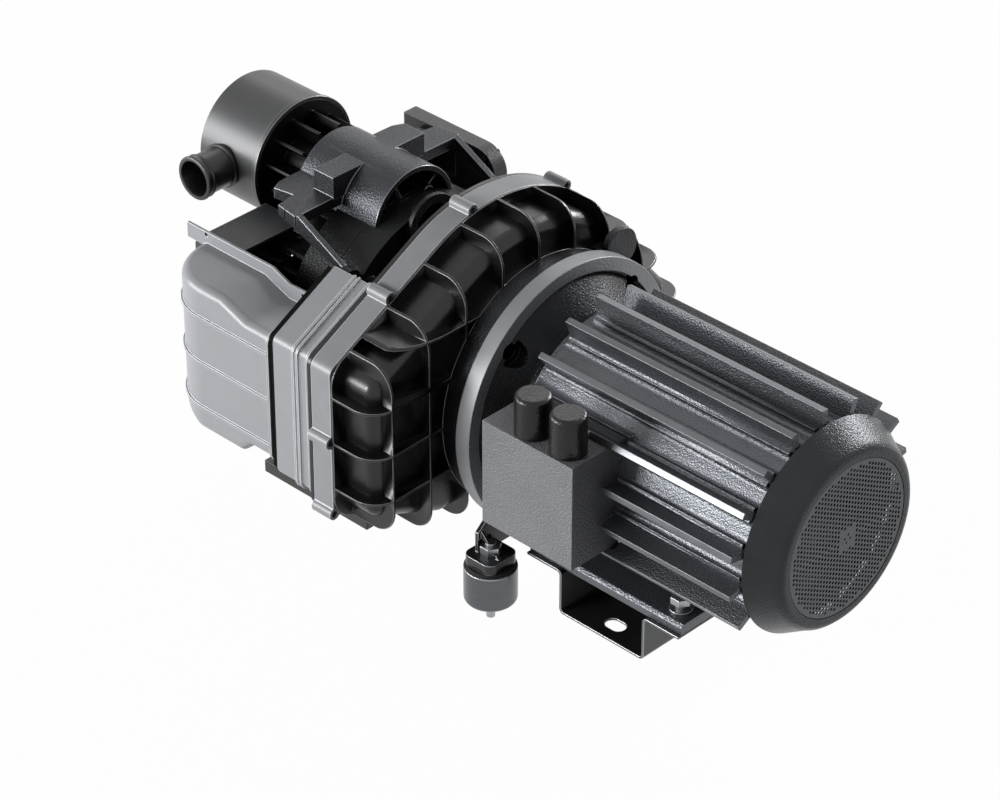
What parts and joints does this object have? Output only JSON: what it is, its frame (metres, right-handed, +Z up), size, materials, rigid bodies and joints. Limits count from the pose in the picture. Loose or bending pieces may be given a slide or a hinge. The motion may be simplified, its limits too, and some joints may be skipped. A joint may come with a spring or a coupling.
{
  "type": "scroll air compressor",
  "caption": "Oil-free scroll air compressor with a flange-mounted finned electric motor, ribbed fan shroud, side air ducts and an intake filter canister on top.",
  "frame": {"origin": "midpoint between the two base studs, on the plane that the base rails, the foot bracket and the mount cups stand on", "axes": "+X along the shaft towards the motor's fan end, +Y to the side away from the terminal box, +Z up; the shaft axis is 157 mm above the origin"},
  "size_m": [0.716, 0.397, 0.3371],
  "materials": {
    "cast_black_paint": "black paint over a hammered casting",
    "cast_aluminium_black": "black powder coat over cast aluminium",
    "bare_aluminium": "machined",
    "moulded_black": "semi-gloss moulding",
    "band_grey": "satin",
    "duct_grey": "satin moulding",
    "sheet_black": "powder coat on folded sheet",
    "grille_grey": "powder coat",
    "brushed_cup": "turned steel",
    "zinc_steel": "zinc plated",
    "shaft_steel": "ground",
    "core_steel": "laminated core",
    "copper_winding": "enamelled winding",
    "bush_bronze": "sintered bronze",
    "mount_rubber": "matt",
    "seal_polymer": "filled polymer",
    "filter_paper": "pleated paper"
  },
  "bodies": {
    "housing": {"drive_end_shield": "cast_black_paint", "motor_adapter": "cast_black_paint", "fan_cowl": "cast_black_paint", "motor_frame": "cast_aluminium_black", "rear_end_shield": "cast_aluminium_black", "terminal_box": "cast_aluminium_black", "crankcase": "cast_aluminium_black", "top_intake_casting": "cast_aluminium_black", "fixed_scroll": "cast_aluminium_black", "crankcase_feet": "cast_aluminium_black", "fan_shroud_front": "moulded_black", "shroud_wall": "moulded_black", "cable_glands": "moulded_black", "terminal_block": "moulded_black", "filter_end_plate": "moulded_black", "filter_spigot": "moulded_black", "shroud_band": "band_grey", "duct_mid": "duct_grey", "duct_cover_left": "duct_grey", "duct_cover_right": "duct_grey", "rear_duct": "duct_grey", "foot_bracket": "sheet_black", "mount_bracket_left": "sheet_black", "mount_bracket_right": "sheet_black", "base_rails": "sheet_black", "filter_canister": "sheet_black", "fan_grille": "grille_grey", "mount_cups": "brushed_cup", "foot_bolts": "zinc_steel", "foot_nuts": "zinc_steel", "flange_bolts": "zinc_steel", "mount_studs": "zinc_steel", "mount_nuts": "zinc_steel", "drive_end_bearing": "shaft_steel", "rear_bearing": "shaft_steel", "main_bearing": "shaft_steel", "stator_core": "core_steel", "stator_windings": "copper_winding", "pin_crank_bushes": "bush_bronze", "discharge_nipple": "bush_bronze", "mount_rubbers": "mount_rubber", "dust_seal": "mount_rubber", "tip_seal_fixed": "seal_polymer", "filter_element": "filter_paper"},
    "rotor": {"motor_shaft": "shaft_steel", "rotor_core": "core_steel", "motor_fan": "moulded_black", "crankshaft": "shaft_steel", "cooling_fan": "moulded_black", "counterweight": "bare_aluminium"},
    "orbiting_scroll_body": {"orbiting_scroll": "bare_aluminium", "orbit_bearing": "shaft_steel", "tip_seal_orbiting": "seal_polymer"},
    "pin_crank_body_1": {"pin_crank_1": "shaft_steel"},
    "pin_crank_body_2": {"pin_crank_2": "shaft_steel"},
    "pin_crank_body_3": {"pin_crank_3": "shaft_steel"}
  },
  "joints": [
    {"name": "shaft_spin", "type": "hinge", "parent": "housing", "child": "rotor", "pos_m": [-0.011, 0, 0.157], "axis": [1, 0, 0], "continuous": true},
    {"name": "scroll_orbit", "type": "hinge", "parent": "rotor", "child": "orbiting_scroll_body", "pos_m": [-0.186, 0, 0.162], "axis": [1, 0, 0], "continuous": true},
    {"name": "pin_crank_spin_1", "type": "hinge", "parent": "housing", "child": "pin_crank_body_1", "pos_m": [-0.191, 0.06755, 0.196], "axis": [1, 0, 0], "continuous": true},
    {"name": "pin_crank_spin_2", "type": "hinge", "parent": "housing", "child": "pin_crank_body_2", "pos_m": [-0.191, -0.06755, 0.196], "axis": [1, 0, 0], "continuous": true},
    {"name": "pin_crank_spin_3", "type": "hinge", "parent": "housing", "child": "pin_crank_body_3", "pos_m": [-0.191, 0, 0.079], "axis": [1, 0, 0], "continuous": true}
  ],
  "couplings": [
    {"joint": "scroll_orbit", "follows": "shaft_spin", "ratio": -1},
    {"joint": "pin_crank_spin_1", "follows": "shaft_spin", "ratio": 1},
    {"joint": "pin_crank_spin_2", "follows": "shaft_spin", "ratio": 1},
    {"joint": "pin_crank_spin_3", "follows": "shaft_spin", "ratio": 1}
  ]
}
